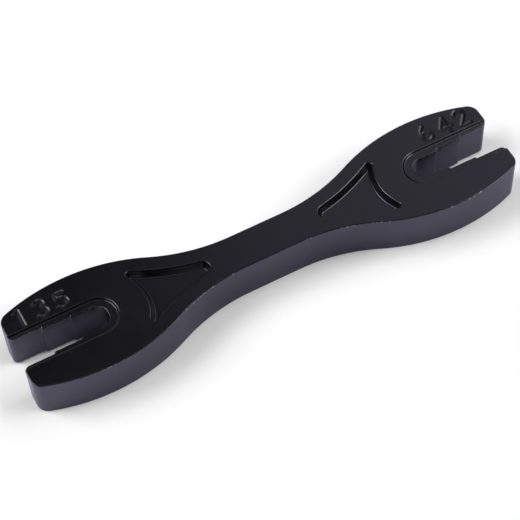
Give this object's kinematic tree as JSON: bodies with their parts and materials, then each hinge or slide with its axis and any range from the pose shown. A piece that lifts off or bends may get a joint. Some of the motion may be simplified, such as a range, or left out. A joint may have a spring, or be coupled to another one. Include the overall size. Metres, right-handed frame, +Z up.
{
  "type": "spoke wrench",
  "caption": "Flat double-ended wrench in black coated steel, with a stepped open jaw slot in each rounded head and a slim waisted shank.",
  "frame": {"origin": "centre of the underside, midway between the two heads", "axes": "+X from the head with the odd numbers to the head with the even numbers, +Y towards the numbered side of the slots, +Z up out of the numbered face"},
  "size_m": [0.105, 0.0222, 0.0094],
  "materials": {
    "black_coated_steel": "satin black coating over steel, with bare specks along the worn edges"
  },
  "bodies": {
    "root": {"wrench_body": "black_coated_steel"}
  },
  "joints": []
}
